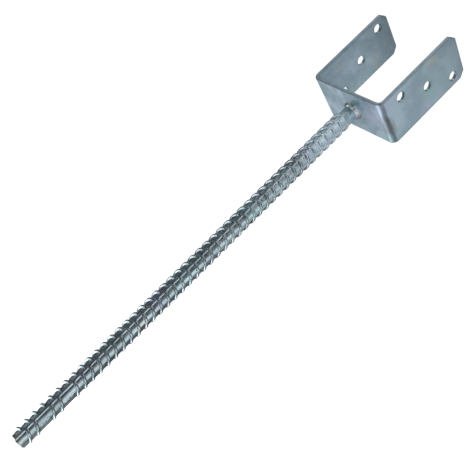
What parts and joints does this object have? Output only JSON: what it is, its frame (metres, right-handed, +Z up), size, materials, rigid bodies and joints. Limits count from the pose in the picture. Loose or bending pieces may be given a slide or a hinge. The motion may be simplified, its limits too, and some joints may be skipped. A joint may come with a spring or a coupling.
{
  "type": "post anchor spike",
  "caption": "U-shaped strip saddle for a square post, with screw holes in both arms, welded on top of a long ribbed bar that is cast into concrete.",
  "frame": {"origin": "middle of the seat, the top face of the saddle's base that the post stands on", "axes": "+Z up the post and opposite to the way the bar points, +X from arm to arm, +Y across the strip"},
  "size_m": [0.109, 0.06, 0.62],
  "materials": {
    "galvanised_strip": "hot-dip galvanised, dull blue-grey with soft mottling",
    "galvanised_bar": "hot-dip galvanised hot-rolled ribbed bar, uneven and semi-gloss",
    "galvanised_weld": "galvanised weld bead, rippled and slightly darker"
  },
  "bodies": {
    "root": {"u_saddle": "galvanised_strip", "ribbed_rod": "galvanised_bar", "weld_bead": "galvanised_weld"}
  },
  "joints": []
}
